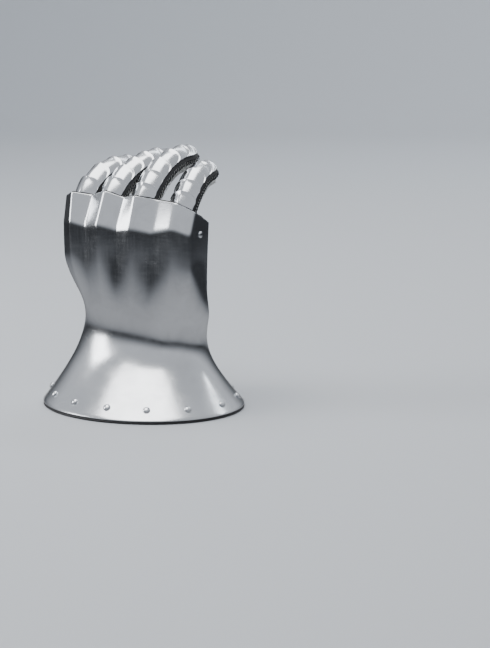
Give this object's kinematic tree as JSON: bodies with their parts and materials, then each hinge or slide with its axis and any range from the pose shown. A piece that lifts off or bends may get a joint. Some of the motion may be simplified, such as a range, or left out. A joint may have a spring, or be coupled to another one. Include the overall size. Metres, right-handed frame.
{
  "type": "armoured gauntlet",
  "caption": "Right-hand steel armour gauntlet standing on its flared cuff: fluted hand plate, overlapping finger and thumb lames on leather straps, soft glove inside.",
  "frame": {"origin": "on the surface the gauntlet stands on, below the middle of the cuff rim", "axes": "+Z from the cuff rim towards the knuckles, +Y towards the palm and the way the fingers bend, -Y the back of the hand, -X the thumb side, +X the little finger side"},
  "size_m": [0.1658, 0.1425, 0.2022],
  "materials": {
    "steel": "satin-polished plate steel",
    "black_leather": "black leather with cut, whip-stitched edges",
    "white_leather": "soft off-white glove leather"
  },
  "bodies": {
    "root": {"cuff_lining": "black_leather", "cuff_rivet_1": "steel", "cuff_rivet_10": "steel", "cuff_rivet_11": "steel", "cuff_rivet_12": "steel", "cuff_rivet_13": "steel", "cuff_rivet_14": "steel", "cuff_rivet_2": "steel", "cuff_rivet_3": "steel", "cuff_rivet_4": "steel", "cuff_rivet_5": "steel", "cuff_rivet_6": "steel", "cuff_rivet_7": "steel", "cuff_rivet_8": "steel", "cuff_rivet_9": "steel", "glove_hand": "white_leather", "glove_index": "white_leather", "glove_little": "white_leather", "glove_middle": "white_leather", "glove_ring": "white_leather", "glove_thumb": "white_leather", "hand_plate": "steel", "index_lame_1": "steel", "index_lame_2": "steel", "index_lame_3": "steel", "index_lame_4": "steel", "index_lame_5": "steel", "index_lame_6": "steel", "knuckle_leather": "black_leather", "little_lame_1": "steel", "little_lame_2": "steel", "little_lame_3": "steel", "little_lame_4": "steel", "little_lame_5": "steel", "middle_lame_1": "steel", "middle_lame_2": "steel", "middle_lame_3": "steel", "middle_lame_4": "steel", "middle_lame_5": "steel", "middle_lame_6": "steel", "middle_lame_7": "steel", "ring_lame_1": "steel", "ring_lame_2": "steel", "ring_lame_3": "steel", "ring_lame_4": "steel", "ring_lame_5": "steel", "ring_lame_6": "steel", "strap_index": "black_leather", "strap_little": "black_leather", "strap_middle": "black_leather", "strap_ring": "black_leather", "strap_thumb": "black_leather", "thumb_arch_leather": "black_leather", "thumb_lame_1": "steel", "thumb_lame_2": "steel", "thumb_lame_3": "steel", "thumb_lame_4": "steel", "thumb_lame_5": "steel"}
  },
  "joints": []
}
